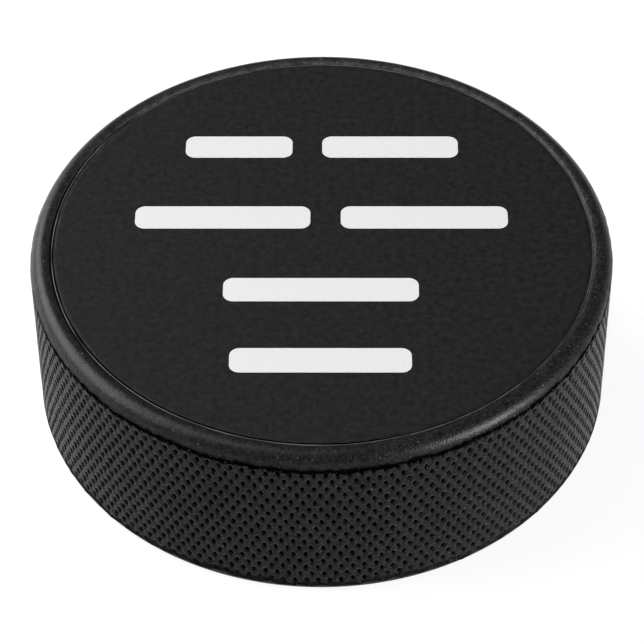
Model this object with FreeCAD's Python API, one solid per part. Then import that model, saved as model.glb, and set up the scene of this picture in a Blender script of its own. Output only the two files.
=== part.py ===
import FreeCAD, Part
import math
import os

# Regulation ice hockey puck with a printed label in its top recess.
#
# Millimetres. The origin is the centre of the underside, on the plane the puck rests on.
# +Z is the puck's axis, upwards, and -Y is the side that a reader of the label stands on.

# Body: one piece of moulded, vulcanised rubber.
PUCK_RADIUS = 38.1          # half of 3 in
PUCK_HEIGHT = 25.4          # 1 in
CROWN_INNER_RADIUS = 35.93  # inner edge of the flat rings that the puck rests and stacks on
LIP_DROP = 0.22             # how far the rim falls from the crown to the recess
LIP_WIDTH = 0.38            # radial width of that slope
RECESS_DEPTH = 0.5          # from the crown to the recess floor
RECESS_DRAFT = 0.05         # how much wider the recess is at its mouth than at its floor

# Each rim meets the knurled band in a V-groove. The lower rim is the smaller one.
# corner_width and corner_height: radial and axial size of the rim's rounded outer corner.
# groove_drop: from the puck's face to the middle of the groove.
UPPER_RIM = {"corner_width": 1.77, "corner_height": 2.3, "groove_drop": 2.2}
LOWER_RIM = {"corner_width": 1.35, "corner_height": 1.8, "groove_drop": 1.7}
GROOVE_WIDTH = 0.6
GROOVE_DEPTH = 0.5

# Label: adhesive, a black film disc, and white ink printed on the film.
LABEL_RADIUS = 35.35
LABEL_SHIFT = 0.1           # the label was laid this far off centre, towards +X
ADHESIVE_THICKNESS = 0.05
ADHESIVE_MARGIN = 0.15      # the adhesive stops this far inside the film's edge
FILM_THICKNESS = 0.22
FILM_EDGE_RADIUS = 0.05
INK_THICKNESS = 0.03
BAR_HEIGHT = 4.2            # size of a printed bar across its row
BAR_CORNER_RADIUS = 1.3
BAR_GAP = 4.0               # space between two bars in a row

# Each printed row: its Y position, and the lengths of its bars from left to right.
PRINT_ROWS = {
    "print_row_1": (18.5, (14.4, 18.3)),
    "print_row_2": (4.8, (23.1, 22.0)),
    "print_row_3": (-8.6, (25.2,)),
    "print_row_4": (-21.1, (23.0,)),
}

RECESS_RADIUS = CROWN_INNER_RADIUS - LIP_WIDTH
RECESS_FLOOR = PUCK_HEIGHT - RECESS_DEPTH
FILM_BASE = RECESS_FLOOR + ADHESIVE_THICKNESS
FILM_TOP = FILM_BASE + FILM_THICKNESS

PUCK_AXIS = FreeCAD.Vector(0, 0, 1)
OUTPUT_FOLDER = "parts"


def profile_point(radius, height):
    """A point of the body's cross-section, which lies in the XZ plane."""
    return FreeCAD.Vector(radius, 0, height)


def corner_arc(corner_width, corner_height, end_drop):
    """The quarter ellipse from the crown's outer edge down to end_drop below the face."""
    crown_outer_radius = PUCK_RADIUS - corner_width
    centre_height = PUCK_HEIGHT - corner_height
    centre = profile_point(crown_outer_radius, centre_height)
    crown_end = profile_point(crown_outer_radius, PUCK_HEIGHT)
    side_end = profile_point(PUCK_RADIUS, centre_height)
    ellipse = Part.Ellipse(crown_end, side_end, centre)
    end_angle = math.acos((corner_height - end_drop) / corner_height)
    return Part.ArcOfEllipse(ellipse, 0, end_angle)


def rim_edges(corner_width, corner_height, groove_drop):
    """The cross-section's edges from the axis, over a rim on top, to its end of the knurl."""
    groove_height = PUCK_HEIGHT - groove_drop
    corner = corner_arc(corner_width, corner_height, groove_drop - GROOVE_WIDTH / 2)
    face_line = Part.makePolygon([
        profile_point(0, RECESS_FLOOR),
        profile_point(RECESS_RADIUS - RECESS_DRAFT, RECESS_FLOOR),
        profile_point(RECESS_RADIUS, PUCK_HEIGHT - LIP_DROP),
        profile_point(CROWN_INNER_RADIUS, PUCK_HEIGHT),
        corner.StartPoint,
    ])
    groove_line = Part.makePolygon([
        corner.EndPoint,
        profile_point(PUCK_RADIUS - GROOVE_DEPTH, groove_height),
        profile_point(PUCK_RADIUS, groove_height - GROOVE_WIDTH / 2),
    ])
    return face_line.Edges + [corner.toShape()] + groove_line.Edges


def straight_edge(radius, lower_height, upper_height):
    """An edge of the cross-section that runs straight up."""
    return Part.makeLine(profile_point(radius, lower_height), profile_point(radius, upper_height))


def make_rubber_body():
    """The moulded puck, turned from its cross-section: two rims, and the knurled band between."""
    upper = Part.Compound(rim_edges(**UPPER_RIM))
    lower = Part.Compound(rim_edges(**LOWER_RIM))
    lower = lower.mirror(profile_point(0, PUCK_HEIGHT / 2), PUCK_AXIS)
    band_low = LOWER_RIM["groove_drop"] + GROOVE_WIDTH / 2
    band_high = PUCK_HEIGHT - UPPER_RIM["groove_drop"] - GROOVE_WIDTH / 2
    band = straight_edge(PUCK_RADIUS, band_low, band_high)
    core = straight_edge(0, RECESS_DEPTH, RECESS_FLOOR)
    edges = upper.Edges + lower.Edges + [band, core]
    section = Part.Face(Part.Wire(Part.__sortEdges__(edges)))
    return section.revolve(profile_point(0, 0), PUCK_AXIS, 360)


def make_disc(radius, base, thickness):
    """A flat disc laid with the label's small offset."""
    return Part.makeCylinder(radius, thickness, FreeCAD.Vector(LABEL_SHIFT, 0, base), PUCK_AXIS)


def make_label_adhesive():
    """The layer of adhesive that holds the film in the recess."""
    return make_disc(LABEL_RADIUS - ADHESIVE_MARGIN, RECESS_FLOOR, ADHESIVE_THICKNESS)


def make_label_film():
    """The black film disc, with its cut edge rounded over at the top."""
    disc = make_disc(LABEL_RADIUS, FILM_BASE, FILM_THICKNESS)
    top_face = max(disc.Faces, key=lambda face: face.CenterOfMass.z)
    return disc.makeFillet(FILM_EDGE_RADIUS, top_face.Edges)


def is_upright(edge):
    """Whether a straight edge runs straight up or down."""
    start, end = [vertex.Point for vertex in edge.Vertexes]
    return math.isclose(start.x, end.x) and math.isclose(start.y, end.y)


def make_bar(start_x, middle_y, length):
    """One printed bar: a thin block with its upright edges rounded."""
    corner = FreeCAD.Vector(start_x, middle_y - BAR_HEIGHT / 2, FILM_TOP)
    block = Part.makeBox(length, BAR_HEIGHT, INK_THICKNESS, corner)
    upright = [edge for edge in block.Edges if is_upright(edge)]
    return block.makeFillet(BAR_CORNER_RADIUS, upright)


def make_print_row(middle_y, bar_lengths):
    """One centred row of printed bars, as separate solids."""
    row_length = sum(bar_lengths) + BAR_GAP * (len(bar_lengths) - 1)
    start_x = -row_length / 2
    bars = []
    for length in bar_lengths:
        bars.append(make_bar(start_x, middle_y, length))
        start_x += length + BAR_GAP
    return Part.Compound(bars)


def main():
    """Writes one STEP file for each piece."""
    pieces = {
        "rubber_body": make_rubber_body(),
        "label_adhesive": make_label_adhesive(),
        "label_film": make_label_film(),
    }
    for row_name, (middle_y, bar_lengths) in PRINT_ROWS.items():
        pieces[row_name] = make_print_row(middle_y, bar_lengths)

    os.makedirs(OUTPUT_FOLDER, exist_ok=True)
    for name, shape in pieces.items():
        shape.exportStep(f"{OUTPUT_FOLDER}/{name}.step")


main()
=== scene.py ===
import math
import random

import bmesh
import bpy
from mathutils import Matrix, Vector, noise


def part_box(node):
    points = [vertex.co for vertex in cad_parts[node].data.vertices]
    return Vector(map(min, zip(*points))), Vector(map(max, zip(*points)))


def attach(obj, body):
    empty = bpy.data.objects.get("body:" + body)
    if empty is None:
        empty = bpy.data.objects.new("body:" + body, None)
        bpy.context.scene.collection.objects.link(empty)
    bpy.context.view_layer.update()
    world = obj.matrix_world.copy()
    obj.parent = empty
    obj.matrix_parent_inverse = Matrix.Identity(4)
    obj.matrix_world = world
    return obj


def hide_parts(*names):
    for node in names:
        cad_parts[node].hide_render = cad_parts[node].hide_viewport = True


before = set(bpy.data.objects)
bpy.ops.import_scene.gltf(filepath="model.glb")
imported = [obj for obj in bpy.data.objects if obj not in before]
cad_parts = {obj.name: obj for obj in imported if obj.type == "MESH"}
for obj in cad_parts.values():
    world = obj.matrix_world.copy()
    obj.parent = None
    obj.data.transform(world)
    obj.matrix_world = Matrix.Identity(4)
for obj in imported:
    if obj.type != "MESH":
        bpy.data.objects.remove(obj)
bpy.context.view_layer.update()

# An ice hockey puck on a pale floor. Metres and radians, unless a name says otherwise.
# The CAD frame gives the sizes of the body, the label and the print. This script adds what its
# plain solids leave out: the knurl's pits, the soft rim, the flash line and the label's cut edge.

MM = 0.001
BODY = "root"
SEED = 7

# ------------------------------------------------------------------ sizes taken from the frame

body_low, body_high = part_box("rubber_body")
film_low, film_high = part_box("label_film")
PUCK_RADIUS = body_high.x
PUCK_HEIGHT = body_high.z
LABEL_RADIUS = (film_high.x - film_low.x) / 2
LABEL_CENTRE_X = (film_high.x + film_low.x) / 2
FILM_BASE = film_low.z
FILM_TOP = film_high.z

# ------------------------------------------------------------------ shape of the rubber body

# Each rim: radial and axial size of its rounded corner, and the groove's distance from the face.
UPPER_RIM = (1.77 * MM, 2.3 * MM, 2.2 * MM)
LOWER_RIM = (1.35 * MM, 1.8 * MM, 1.7 * MM)
CROWN_RADIUS = PUCK_RADIUS - UPPER_RIM[0]
LIP_WIDTH = 0.78 * MM           # the rounding from the crown down into the recess
LIP_DROP = 0.25 * MM
RECESS_DEPTH = 0.5 * MM
RECESS_DRAFT = 0.05 * MM
RECESS_RADIUS = CROWN_RADIUS - LIP_WIDTH
FLOOR_ROUNDING = 0.05 * MM      # where the recess wall meets its floor
FLOOR_BORDER = 0.4 * MM         # width of the floor's outermost ring of faces
GROOVE_WIDTH = 0.6 * MM
GROOVE_DEPTH = 0.5 * MM
RIM_SEGMENTS = 480
CORNER_STEPS = 14
LIP_STEPS = 6

# Irregularities: size of their features, strength, and a channel that keeps them apart.
FLASH_DRIFT = (3.5 * MM, 0.28 * MM, 0)
FLASH_NICKS = (0.9 * MM, 0.42 * MM, 5)
CREST_WAVES = (1.5 * MM, 0.04 * MM, 9)
SIDEWAYS_JITTER = (1.6 * MM, 0.14 * MM, 13)
UPWARD_JITTER = (1.6 * MM, 0.14 * MM, 17)
FILM_WANDER = (6 * MM, 0.03 * MM, 0)
CREASE_STRAY = (1.2 * MM, 0.10 * MM, 21)
CREASE_SHADE_PATCHES = (6 * MM, 0.5, 23)
CUT_EDGE_PATCHES = (5 * MM, 0.8, 27)
PALENESS_PATCHES = (1.5 * MM, 0.8, 31)

# The knurl is a net of two families of ridges that cross. Between them lie diamond cells, with a
# pit in each. The families differ a little, so the rows of pits climb slowly round the puck.
LINES_A = 158                   # ridges of each family round the puck
LINES_B = 163
RISE_A = 2.40 * MM              # from one ridge of a family to the next, straight up
RISE_B = 2.60 * MM
LINE_RATE = LINES_A / RISE_B + LINES_B / RISE_A
PIT_DEPTH = 0.50 * MM
PIT_DEPTH_VARIATION = 0.3
PIT_DEPTHS = 997                # different depths, dealt out to the cells in these strides
PIT_STRIDE_A = 31
PIT_STRIDE_B = 17
# Where a cell is divided, from -0.5 at one ridge's crest to 0.5 at the next, and the share of the
# pit's depth that is reached there.
CELL_STEPS = ((-0.5, 0.0), (-0.28, 0.07), (-0.13, 1.0), (0.13, 1.0), (0.28, 0.07))
CREST_DROP = 0.045 * MM         # the knurl's crests stand a little inside the puck's full radius
CUT_TOLERANCE = 1e-8            # for cutting the net off at the grooves
EDGE_TOLERANCE = 1e-7           # for finding the vertices of the cut

# The groove's edges are ragged, and they lift on the right of the upper one, where the mould's two
# halves met askew.
FLASH_REACH = 0.35 * MM         # how far from the groove the raggedness is felt
KNURL_FLASH_OFFSET = 3          # makes the knurl's edge ragged in its own way
UPPER_LIFT = 0.4 * MM
LIFT_REACH = 1.8 * MM

# The upper rim shines on top and turns dull down its wall, partly painted shade; painted shade makes it
# near black at the groove.
SHINE_END = 0.7 * MM            # below the face
LIP_DULLNESS = 0.6
SHADE_REACH = 0.25 * MM
GROOVE_SHADE = 0.75
LOWER_SHADE = 0.5               # how dark the lower groove's painted shade is, where the upper one is 1
PALE_REACH = 0.35 * MM          # how far the paler band on the lip spreads
PALEST_SIDE = math.radians(75)   # where it is palest: behind, to the right

# ------------------------------------------------------------------ shape of the label's edge

LABEL_SEGMENTS = 720
FLAT_RINGS = (0.75, 0.5, 0.25, 0.1, 0.03)   # distance inside the edge, as a share of the radius
EDGE_SWELL = 0.07 * MM              # the film reaches this far towards the rim, except on the left
SWELL_BIAS = 0.3                    # how much less it swells on the right than in front
GAP_NARROWNESS = 4                  # how closely the open gap keeps to the left
CREASE_START = 0.40 * MM            # inside the edge
CREASE_SHADE_SIDE = math.radians(232)     # where the crease's painted shade is darkest: in front, to the left
CREASE_SHADE_STRENGTH = 1.1
CREASE_SHADE_NARROWNESS = 1.5             # how quickly the painted shade fades away from there
# The cut edge is paler partly from the film's core and partly as a painted highlight.
CUT_EDGE_STRENGTH = 0.8
# The film's edge: distance inside it, height above the film's flat top, and whether the place
# belongs to the crease that the die pressed, darkened with painted shade, or to the pale cut edge, partly
# a painted highlight.
FILM_EDGE = (
    (0.32 * MM, -0.05 * MM, "shaded_crease"),
    (0.14 * MM, -0.05 * MM, "shaded_crease"),
    (0.07 * MM, 0.00 * MM, "cut_edge"),
    (0.03 * MM, 0.00 * MM, "cut_edge"),
    (0.00 * MM, -0.04 * MM, "cut_edge"),
)


def wobble(position, feature_size, strength, channel, offset=0):
    """Smooth, repeatable irregularity of about plus or minus that strength."""
    return strength * noise.noise(Vector(position) / feature_size + Vector((channel + offset, SEED, 0)))


def smooth_share(value, low, high):
    """0 below low, 1 above high, and smooth between."""
    share = min(1.0, max(0.0, (value - low) / (high - low)))
    return share * share * (3 - 2 * share)


def on_circle(radius, angle, height):
    """A point at that radius and angle from the puck's axis."""
    return Vector((radius * math.cos(angle), radius * math.sin(angle), height))


def angle_of(vertex):
    """The vertex's angle round the puck's axis, from 0 to a full turn."""
    return math.atan2(vertex.co.y, vertex.co.x) % math.tau


# ------------------------------------------------------------------ mesh helpers

def add_ring(mesh, segments, place):
    """Adds a closed ring of vertices, where place(angle) gives each position."""
    return [mesh.verts.new(place(math.tau * k / segments)) for k in range(segments)]


def join_rings(mesh, ring, other):
    """Fills the band between two rings that have the same number of vertices."""
    for k in range(len(ring)):
        mesh.faces.new((ring[k - 1], ring[k], other[k], other[k - 1]))


def join_loops(mesh, loop, other):
    """Fills the band between two loops of any length, both sorted by angle, with triangles."""
    def turn(vertices, k):
        return math.tau if k == len(vertices) else angle_of(vertices[k])

    i = j = 0
    while i < len(loop) or j < len(other):
        here, there = loop[i % len(loop)], other[j % len(other)]
        if j == len(other) or (i < len(loop) and turn(loop, i + 1) <= turn(other, j + 1)):
            i += 1
            mesh.faces.new((here, loop[i % len(loop)], there))
        else:
            j += 1
            mesh.faces.new((here, other[j % len(other)], there))


def close_ring(mesh, ring, centre):
    """Closes a ring with a fan of triangles about a centre point."""
    middle = mesh.verts.new(centre)
    for k in range(len(ring)):
        mesh.faces.new((ring[k - 1], ring[k], middle))


def finish_piece(name, mesh, material, node):
    """Turns a bmesh into a smooth-shaded piece that stands for a CAD node."""
    bmesh.ops.recalc_face_normals(mesh, faces=mesh.faces)
    data = bpy.data.meshes.new(name)
    mesh.to_mesh(data)
    mesh.free()
    data.shade_smooth()
    data.materials.append(material)
    piece = bpy.data.objects.new(name, data)
    bpy.context.scene.collection.objects.link(piece)
    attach(piece, BODY)
    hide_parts(node)
    return piece


# ------------------------------------------------------------------ the rubber body

def flash_shift(position, distance, offset=0):
    """How far up or down the groove pulls what lies at that distance from its edge."""
    ragged = wobble(position, *FLASH_DRIFT) + wobble(position, *FLASH_NICKS, offset)
    shift = math.exp(-(distance / FLASH_REACH) ** 2) * ragged
    if position.z > PUCK_HEIGHT / 2:
        lift = UPPER_LIFT * max(0.0, position.x) / PUCK_RADIUS
        shift += (1 - smooth_share(distance, 0, LIFT_REACH)) * lift
    return shift


def knurl_place(a, b):
    """Angle and height of the point a lines along one family and b lines along the other."""
    angle = math.tau * (a / RISE_B + b / RISE_A) / LINE_RATE
    return angle, PUCK_HEIGHT / 2 + (LINES_B * a - LINES_A * b) / LINE_RATE


def knurl_vertex(mesh, layers, line_a, line_b, pit_depths):
    """One vertex of the net, where line_a and line_b count the dividing lines of the cells."""
    steps = len(CELL_STEPS)
    cell_a, step_a = divmod(line_a, steps)
    cell_b, step_b = divmod(line_b, steps)
    angle, height = knurl_place(cell_a + CELL_STEPS[step_a][0], cell_b + CELL_STEPS[step_b][0])
    share = min(CELL_STEPS[step_a][1], CELL_STEPS[step_b][1])
    place = on_circle(PUCK_RADIUS, angle, height)
    dealt = (cell_a * PIT_STRIDE_A + cell_b * PIT_STRIDE_B) % PIT_DEPTHS
    depth = share * PIT_DEPTH * pit_depths[dealt]
    depth += CREST_DROP + wobble(place, *CREST_WAVES)
    angle += wobble(place, *SIDEWAYS_JITTER) / PUCK_RADIUS
    height += wobble(place, *UPWARD_JITTER)
    vertex = mesh.verts.new(on_circle(PUCK_RADIUS - depth, angle, height))
    # The pit's share of depth also sets its painted shade.
    vertex[layers["pit_and_groove_shade"]] = share
    vertex[layers["dull_and_shade"]] = 1.0
    return vertex


def add_knurl(mesh, band_low, band_high):
    """Adds the knurled band, cut level, and returns its lower and upper edge loops."""
    layers = {name: mesh.verts.layers.float.new(name) for name in ("pit_and_groove_shade", "dull_and_shade", "lip_pale")}
    draw = random.Random(SEED)
    pit_depths = [1 + PIT_DEPTH_VARIATION * draw.uniform(-1, 1) for _ in range(PIT_DEPTHS)]
    steps = len(CELL_STEPS)
    vertices = {}

    def vertex(line_a, line_b):
        turns, line_a = divmod(line_a, LINES_A * steps)
        key = (line_a, line_b - turns * LINES_B * steps)
        if key not in vertices:
            vertices[key] = knurl_vertex(mesh, layers, *key, pit_depths)
        return vertices[key]

    for line_a in range(LINES_A * steps):
        def line_b_at(height):
            rise = (height - PUCK_HEIGHT / 2) * LINE_RATE
            return math.floor((LINES_B * line_a - steps * rise) / LINES_A)

        for line_b in range(line_b_at(band_high) - steps, line_b_at(band_low) + steps):
            mesh.faces.new((
                vertex(line_a, line_b),
                vertex(line_a, line_b + 1),
                vertex(line_a + 1, line_b + 1),
                vertex(line_a + 1, line_b),
            ))
    return cut_level(mesh, band_low, -1), cut_level(mesh, band_high, 1)


def cut_level(mesh, height, side):
    """Cuts away what lies beyond that height, and returns the cut edge's vertices by angle."""
    geometry = mesh.verts[:] + mesh.edges[:] + mesh.faces[:]
    bmesh.ops.bisect_plane(
        mesh,
        geom=geometry,
        dist=CUT_TOLERANCE,
        plane_co=(0, 0, height),
        plane_no=(0, 0, side),
        clear_outer=True,
    )
    edge = [vertex for vertex in mesh.verts if abs(vertex.co.z - height) < EDGE_TOLERANCE]
    return sorted(edge, key=angle_of)


def rim_section(corner_width, corner_height, edge_drop):
    """Radius and height under the face of each ring, from the rim's edge at the groove inwards."""
    section = []
    low_angle = math.acos((corner_height - edge_drop) / corner_height)
    for k in range(CORNER_STEPS, -1, -1):
        turn = low_angle * k / CORNER_STEPS
        radius = PUCK_RADIUS - corner_width * (1 - math.sin(turn))
        section.append((radius, corner_height * (1 - math.cos(turn))))
    if radius > CROWN_RADIUS:
        section.append((CROWN_RADIUS, 0))
    for k in range(1, LIP_STEPS + 1):
        turn = math.pi / 2 * k / LIP_STEPS
        radius = CROWN_RADIUS - LIP_WIDTH * math.sin(turn)
        section.append((radius, LIP_DROP * (1 - math.cos(turn))))
    floor_radius = RECESS_RADIUS - RECESS_DRAFT
    section.append((floor_radius, RECESS_DEPTH - FLOOR_ROUNDING))
    section.append((floor_radius - FLOOR_ROUNDING, RECESS_DEPTH))
    section.append((floor_radius - FLOOR_BORDER, RECESS_DEPTH))
    return section


def lip_paleness(position):
    """How much paler the lip is there: on its slope, mostly behind and to the right."""
    radius = math.hypot(position.x, position.y)
    spread = math.exp(-abs(radius - RECESS_RADIUS) / PALE_REACH)
    side = 0.5 + 0.5 * math.cos(math.atan2(position.y, position.x) - PALEST_SIDE)
    return spread * side ** 2 * (1 + wobble(position, *PALENESS_PATCHES))


def groove_shade(side):
    """How dark the painted shade in the groove on that side of the puck is."""
    return 1.0 if side > 0 else LOWER_SHADE


def finish_rim_ring(mesh, ring, side, radius, drop, edge_drop):
    """Stores the painted shade, the dullness and the paleness of a ring of the rim."""
    layers = mesh.verts.layers.float
    # Painted shade, darkest at the groove and fading up the rim.
    shade = groove_shade(side) * GROOVE_SHADE * math.exp(-max(0.0, edge_drop - drop) / SHADE_REACH)
    wall = smooth_share(drop, SHINE_END, edge_drop)
    lip = smooth_share(CROWN_RADIUS - radius, 0, LIP_WIDTH)
    for vertex in ring:
        vertex[layers["pit_and_groove_shade"]] = shade
        vertex[layers["dull_and_shade"]] = max(wall, LIP_DULLNESS * lip) if side > 0 else 1.0
        vertex[layers["lip_pale"]] = lip_paleness(vertex.co) if drop <= LIP_DROP else 0.0


def add_rim(mesh, knurl_edge, side, corner_width, corner_height, groove_drop):
    """Adds one rim and its face, joined to the knurl's edge. side is 1 for the top, -1 for below."""
    groove_shade_layer = mesh.verts.layers.float["pit_and_groove_shade"]
    face_height = PUCK_HEIGHT if side > 0 else 0
    edge_drop = groove_drop - GROOVE_WIDTH / 2

    def place_groove(angle):
        place = on_circle(PUCK_RADIUS - GROOVE_DEPTH, angle, face_height - side * groove_drop)
        place.z += flash_shift(place, 0)
        return place

    groove = add_ring(mesh, RIM_SEGMENTS, place_groove)
    # Painted shade on the groove and the knurl's edge beside it.
    for vertex in groove + knurl_edge:
        vertex[groove_shade_layer] = groove_shade(side)
    join_loops(mesh, knurl_edge, groove)
    last = groove
    for radius, drop in rim_section(corner_width, corner_height, edge_drop):
        def place_rim(angle):
            place = on_circle(radius, angle, face_height - side * drop)
            place.z += flash_shift(place, edge_drop - drop, side)
            return place

        ring = add_ring(mesh, RIM_SEGMENTS, place_rim)
        finish_rim_ring(mesh, ring, side, radius, drop, edge_drop)
        join_rings(mesh, last, ring)
        last = ring
    close_ring(mesh, last, Vector((0, 0, face_height - side * RECESS_DEPTH)))


def make_rubber_body(material):
    """The moulded puck as one closed mesh: knurled band, two rims and two recessed faces."""
    mesh = bmesh.new()
    band_low = LOWER_RIM[-1] + GROOVE_WIDTH / 2
    band_high = PUCK_HEIGHT - UPPER_RIM[-1] - GROOVE_WIDTH / 2
    lower_edge, upper_edge = add_knurl(mesh, band_low, band_high)
    for vertex in mesh.verts:
        edge_distance = min(vertex.co.z - band_low, band_high - vertex.co.z)
        vertex.co.z += flash_shift(vertex.co, edge_distance, KNURL_FLASH_OFFSET)
    add_rim(mesh, lower_edge, -1, *LOWER_RIM)
    add_rim(mesh, upper_edge, 1, *UPPER_RIM)
    return finish_piece("rubber_puck", mesh, material, "rubber_body")


# ------------------------------------------------------------------ the label film

def edge_wander(angle):
    """How far the film's cut edge strays outwards: least on the left, where the gap is open."""
    place = on_circle(LABEL_RADIUS, angle, 0)
    gap = max(0.0, -math.cos(angle)) ** GAP_NARROWNESS
    swell = EDGE_SWELL * (1 - gap) * (1 - SWELL_BIAS * math.cos(angle))
    return swell + wobble(place, *FILM_WANDER)


def edge_strength(kind, angle):
    """How dark the crease's painted shade is there, or how pale the cut edge, partly a painted highlight.
    """
    place = on_circle(LABEL_RADIUS, angle, 0)
    if kind == "shaded_crease":
        facing = max(0.0, math.cos(angle - CREASE_SHADE_SIDE))
        strength = CREASE_SHADE_STRENGTH * facing ** CREASE_SHADE_NARROWNESS + wobble(place, *CREASE_SHADE_PATCHES)
    else:
        strength = CUT_EDGE_STRENGTH + wobble(place, *CUT_EDGE_PATCHES)
    return min(1.0, max(0.0, strength))


def make_label_film(material):
    """The label: a thin disc with a crease, darkened with painted shade, and a pale line along its cut
    edge, partly the film's core and partly a painted highlight.
    """
    mesh = bmesh.new()
    layers = {name: mesh.verts.layers.float.new(name) for name in ("shaded_crease", "cut_edge")}

    def ring_at(inset, height, kind=None):
        def place(angle):
            stray = wobble(on_circle(LABEL_RADIUS, angle, 0), *CREASE_STRAY)
            kept = inset + stray if kind == "shaded_crease" else inset
            point = on_circle(LABEL_RADIUS - kept + edge_wander(angle), angle, height)
            point.x += LABEL_CENTRE_X
            return point

        ring = add_ring(mesh, LABEL_SEGMENTS, place)
        if kind:
            for vertex in ring:
                vertex[layers[kind]] = edge_strength(kind, angle_of(vertex))
        return ring

    flat_insets = [LABEL_RADIUS * share for share in FLAT_RINGS]
    rings = [ring_at(inset, FILM_TOP) for inset in (*flat_insets, 2 * CREASE_START, CREASE_START)]
    for inset, rise, kind in FILM_EDGE:
        rings.append(ring_at(inset, FILM_TOP + rise, kind))
    rings.append(ring_at(0, FILM_BASE, "cut_edge"))
    for ring, other in zip(rings, rings[1:]):
        join_rings(mesh, ring, other)
    close_ring(mesh, rings[0], Vector((LABEL_CENTRE_X, 0, FILM_TOP)))
    close_ring(mesh, rings[-1], Vector((LABEL_CENTRE_X, 0, FILM_BASE)))
    return finish_piece("black_label", mesh, material, "label_film")


# ------------------------------------------------------------------ materials

NOISE_LOW = 0.3                 # Blender's noise seldom strays beyond these two
NOISE_HIGH = 0.7


class Nodes:
    """A short way to write a material's nodes. Textures work in millimetres."""

    def __init__(self, name):
        self.material = bpy.data.materials.new(name)
        self.material.use_nodes = True
        self.tree = self.material.node_tree
        self.shader = self.tree.nodes["Principled BSDF"]
        scale = self.add("ShaderNodeVectorMath", operation="SCALE")
        scale.inputs["Scale"].default_value = 1 / MM
        self.link(self.add("ShaderNodeTexCoord").outputs["Object"], scale.inputs[0])
        self.place = scale.outputs["Vector"]

    def add(self, kind, **settings):
        """Adds a node of that kind with those settings."""
        node = self.tree.nodes.new(kind)
        for setting, value in settings.items():
            setattr(node, setting, value)
        return node

    def link(self, output, socket):
        """Links an output to a socket."""
        self.tree.links.new(output, socket)

    def feed(self, socket, value):
        """Gives a socket an output or a fixed value."""
        if isinstance(value, bpy.types.NodeSocket):
            self.link(value, socket)
        else:
            socket.default_value = value

    def noise(self, size, detail=3.0, roughness=0.5, offset=0.0):
        """Noise between 0 and 1 with features of that size in millimetres."""
        node = self.add("ShaderNodeTexNoise", noise_dimensions="4D")
        node.inputs["W"].default_value = offset
        node.inputs["Scale"].default_value = 1 / size
        node.inputs["Detail"].default_value = detail
        node.inputs["Roughness"].default_value = roughness
        self.link(self.place, node.inputs["Vector"])
        return node.outputs["Fac"]

    def remap(self, value, low, high, new_low, new_high):
        """Carries low to high over to new_low to new_high, and holds what lies outside."""
        node = self.add("ShaderNodeMapRange")
        node.inputs["From Min"].default_value = low
        node.inputs["From Max"].default_value = high
        node.inputs["To Min"].default_value = new_low
        node.inputs["To Max"].default_value = new_high
        self.link(value, node.inputs["Value"])
        return node.outputs["Result"]

    def vary(self, low, high, size, **settings):
        """A number that drifts between low and high, with features of that size in millimetres."""
        return self.remap(self.noise(size, **settings), NOISE_LOW, NOISE_HIGH, low, high)

    def between(self, share, at_none, at_full):
        """A number that goes from at_none to at_full as the share goes from 0 to 1."""
        return self.remap(share, 0.0, 1.0, at_none, at_full)

    def grey(self, value):
        """A grey colour of that lightness, from a number that varies over the surface."""
        node = self.add("ShaderNodeCombineColor")
        for name in ("Red", "Green", "Blue"):
            self.link(value, node.inputs[name])
        return node.outputs["Color"]

    def math(self, operation, first, second):
        """Sum, product and the like of an output and another output or a number."""
        node = self.add("ShaderNodeMath", operation=operation)
        self.feed(node.inputs[0], first)
        self.feed(node.inputs[1], second)
        return node.outputs["Value"]

    def attribute(self, name):
        """A number stored at each vertex of the mesh."""
        return self.add("ShaderNodeAttribute", attribute_name=name).outputs["Fac"]

    def bump(self, height, distance, strength, under=None):
        """A bump of that height in metres, laid over another bump if one is given."""
        node = self.add("ShaderNodeBump")
        self.feed(node.inputs["Strength"], strength)
        node.inputs["Distance"].default_value = distance
        self.link(height, node.inputs["Height"])
        if under is not None:
            self.link(under, node.inputs["Normal"])
        return node.outputs["Normal"]

    def set(self, name, value):
        """Sets a shader input from an output or a number."""
        self.feed(self.shader.inputs[name], value)


def make_rubber():
    """Satin black rubber. The knurl and the lower rim are duller, partly as painted shade, and painted
    shade makes the pits and grooves near black.
    """
    nodes = Nodes("moulded_rubber")
    # Painted shade: the pits and the grooves are darkened in colour and in gloss.
    hollow_shade = nodes.remap(nodes.attribute("pit_and_groove_shade"), 0.1, 0.7, 0.0, 1.0)
    dull_and_shade = nodes.attribute("dull_and_shade")
    colour = nodes.math("MULTIPLY", nodes.vary(0.009, 0.013, 4.0), nodes.vary(0.2, 1.8, 0.35, offset=2.0))
    # A duller finish, whose slight darkening and loss of gloss are partly painted shade.
    colour = nodes.math("MULTIPLY", colour, nodes.between(dull_and_shade, 1.0, 0.95))
    colour = nodes.math("MULTIPLY", colour, nodes.between(hollow_shade, 1.0, 0.08))
    # Paler on the lip's slope, mostly behind and to the right.
    lip_pale = nodes.math("MULTIPLY", nodes.attribute("lip_pale"), nodes.vary(0.02, 0.08, 0.5))
    specks = nodes.remap(nodes.noise(0.22, detail=1.0, offset=5.0), 0.68, 0.80, 0.0, 0.15)
    colour = nodes.math("ADD", nodes.math("ADD", colour, lip_pale), specks)
    nodes.set("Base Color", nodes.grey(colour))
    nodes.set("Roughness", nodes.vary(0.28, 0.38, 1.5, offset=8.0))
    gloss = nodes.math("MULTIPLY", nodes.between(dull_and_shade, 0.22, 0.05), nodes.between(hollow_shade, 1.0, 0.04))
    nodes.set("Specular IOR Level", gloss)
    swell = nodes.bump(nodes.noise(1.2, detail=2.0, offset=11.0), 0.05 * MM, 0.15)
    tooth = nodes.between(dull_and_shade, 0.5, 1.0)
    nodes.set("Normal", nodes.bump(nodes.noise(0.3, offset=14.0), 0.10 * MM, tooth, under=swell))
    return nodes.material


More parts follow.
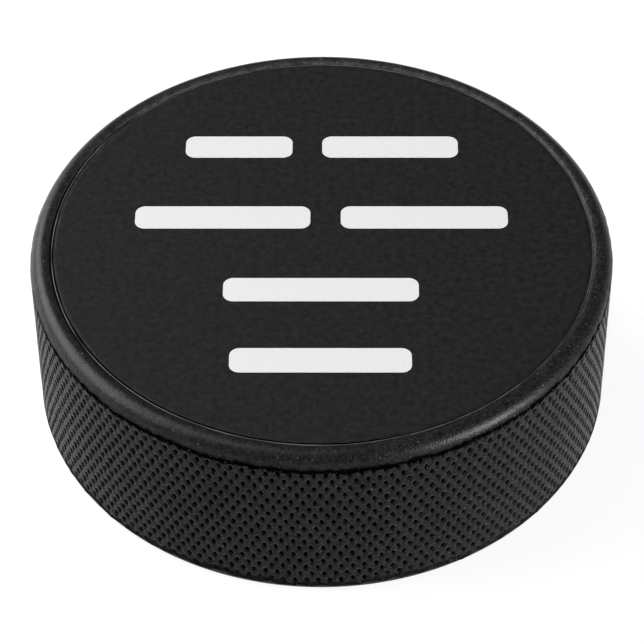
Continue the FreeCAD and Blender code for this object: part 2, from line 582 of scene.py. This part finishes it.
def make_film():
    """Matt black printed film: a soft mottle, a fine tooth, a crease darkened with painted shade and a
    pale cut edge, partly a painted highlight.
    """
    nodes = Nodes("label_film")
    # Painted shade: the crease is darkened in colour and in gloss.
    shaded_crease = nodes.remap(nodes.attribute("shaded_crease"), 0.1, 0.7, 1.0, 0.03)
    mottle = nodes.vary(0.004, 0.017, 0.9, detail=4.0, roughness=0.7)
    # Paler cut edge: partly the film's core, partly a painted highlight.
    edge = nodes.remap(nodes.attribute("cut_edge"), 0.3, 1.0, 0.0, 0.14)
    nodes.set("Base Color", nodes.grey(nodes.math("ADD", nodes.math("MULTIPLY", mottle, shaded_crease), edge)))
    nodes.set("Specular IOR Level", nodes.math("MULTIPLY", shaded_crease, 0.12))
    nodes.set("Roughness", nodes.vary(0.50, 0.60, 1.0, offset=3.0))
    nodes.set("Normal", nodes.bump(nodes.noise(0.25, offset=6.0), 0.01 * MM, 0.5))
    return nodes.material


def make_ink():
    """Opaque white ink: faintly uneven, as it lies on the film's tooth."""
    nodes = Nodes("white_ink")
    nodes.set("Base Color", nodes.grey(nodes.vary(0.645, 0.67, 0.6, detail=4.0)))
    nodes.set("Roughness", nodes.vary(0.55, 0.65, 1.0, offset=3.0))
    nodes.set("Normal", nodes.bump(nodes.noise(0.3, offset=6.0), 0.01 * MM, 0.4))
    return nodes.material


def make_adhesive():
    """Pale grey, streaked adhesive under the film."""
    nodes = Nodes("adhesive")
    nodes.set("Base Color", nodes.grey(nodes.vary(0.30, 0.45, 1.5)))
    nodes.set("Roughness", nodes.vary(0.2, 0.35, 0.8, offset=4.0))
    return nodes.material


def make_floor_material():
    """A plain white studio table, bright enough to come out as white paper does."""
    nodes = Nodes("studio_floor")
    nodes.set("Base Color", (0.2, 0.2, 0.2, 1.0))
    nodes.set("Roughness", 0.7)
    nodes.set("Emission Color", (1.0, 1.0, 1.0, 1.0))
    nodes.set("Emission Strength", 0.86)
    return nodes.material


def dress_cad_nodes():
    """Gives the pieces whose CAD shape is kept their materials."""
    kept = {"label_adhesive": make_adhesive()}
    ink = make_ink()
    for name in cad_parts:
        if name.startswith("print_row"):
            kept[name] = ink
    for name, material in kept.items():
        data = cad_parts[name].data
        data.materials.clear()
        data.materials.append(material)


# ------------------------------------------------------------------ studio

CAMERA_TARGET = Vector((0.04, 0, 10.34)) * MM
CAMERA_DISTANCE = 398.2 * MM
CAMERA_ELEVATION = math.radians(45.88)
CAMERA_TURN = math.radians(0.5)     # round the puck, so that the print lies level in the picture
CAMERA_ROLL = math.radians(-0.35)
CAMERA_LENS_MM = 165.8
SENSOR_MM = 36.0
FLOOR_SIZE = 6.0
FLOOR_CELLS = 8

# Softboxes: azimuth (0 to the right, 90 behind) and elevation in degrees, distance, width and
# height in metres, and power in watts.
SOFTBOXES = {
    "left_softbox": (159, 32, 0.9, 1.25, 0.70, 14.7),
    "right_softbox": (-32, 18, 0.9, 0.40, 0.40, 9.5),
    "overhead_softbox": (165, 66, 1.1, 0.80, 0.70, 3.2),
}
WORLD_LIGHT = 0.03


def make_camera():
    """The camera in front of the puck, looking down on it."""
    data = bpy.data.cameras.new("camera")
    data.lens = CAMERA_LENS_MM
    data.sensor_width = SENSOR_MM
    camera = bpy.data.objects.new("camera", data)
    bpy.context.scene.collection.objects.link(camera)
    turn = Matrix.Rotation(CAMERA_TURN, 4, "Z")
    tilt = Matrix.Rotation(math.pi / 2 - CAMERA_ELEVATION, 4, "X")
    roll = Matrix.Rotation(CAMERA_ROLL, 4, "Z")
    back = Matrix.Translation((0, 0, CAMERA_DISTANCE))
    camera.matrix_world = Matrix.Translation(CAMERA_TARGET) @ turn @ tilt @ roll @ back
    bpy.context.scene.camera = camera


def make_softbox(name, azimuth, elevation, distance, width, height, power):
    """One rectangular softbox that faces the puck."""
    data = bpy.data.lights.new(name, "AREA")
    data.shape = "RECTANGLE"
    data.size = width
    data.size_y = height
    data.energy = power
    light = bpy.data.objects.new(name, data)
    bpy.context.scene.collection.objects.link(light)
    azimuth, elevation = math.radians(azimuth), math.radians(elevation)
    flat = math.cos(elevation)
    towards = Vector((flat * math.cos(azimuth), flat * math.sin(azimuth), math.sin(elevation)))
    light.location = CAMERA_TARGET + distance * towards
    light.rotation_euler = towards.to_track_quat("Z", "Y").to_euler()


def make_floor(material):
    """A wide flat floor at the height that the puck rests on."""
    mesh = bmesh.new()
    bmesh.ops.create_grid(mesh, x_segments=FLOOR_CELLS, y_segments=FLOOR_CELLS, size=FLOOR_SIZE / 2)
    data = bpy.data.meshes.new("studio_floor")
    mesh.to_mesh(data)
    mesh.free()
    data.materials.append(material)
    floor = bpy.data.objects.new("studio_floor", data)
    bpy.context.scene.collection.objects.link(floor)


def make_studio():
    """Floor, lights, faint surroundings and plain colour handling."""
    make_floor(make_floor_material())
    for name, settings in SOFTBOXES.items():
        make_softbox(name, *settings)
    world = bpy.data.worlds.new("studio")
    world.use_nodes = True
    background = world.node_tree.nodes["Background"]
    background.inputs["Color"].default_value = (1.0, 1.0, 1.0, 1.0)
    background.inputs["Strength"].default_value = WORLD_LIGHT
    bpy.context.scene.world = world
    bpy.context.scene.view_settings.view_transform = "Standard"


# ------------------------------------------------------------------ everything together

make_camera()
make_studio()
make_rubber_body(make_rubber())
make_label_film(make_film())
dress_cad_nodes()
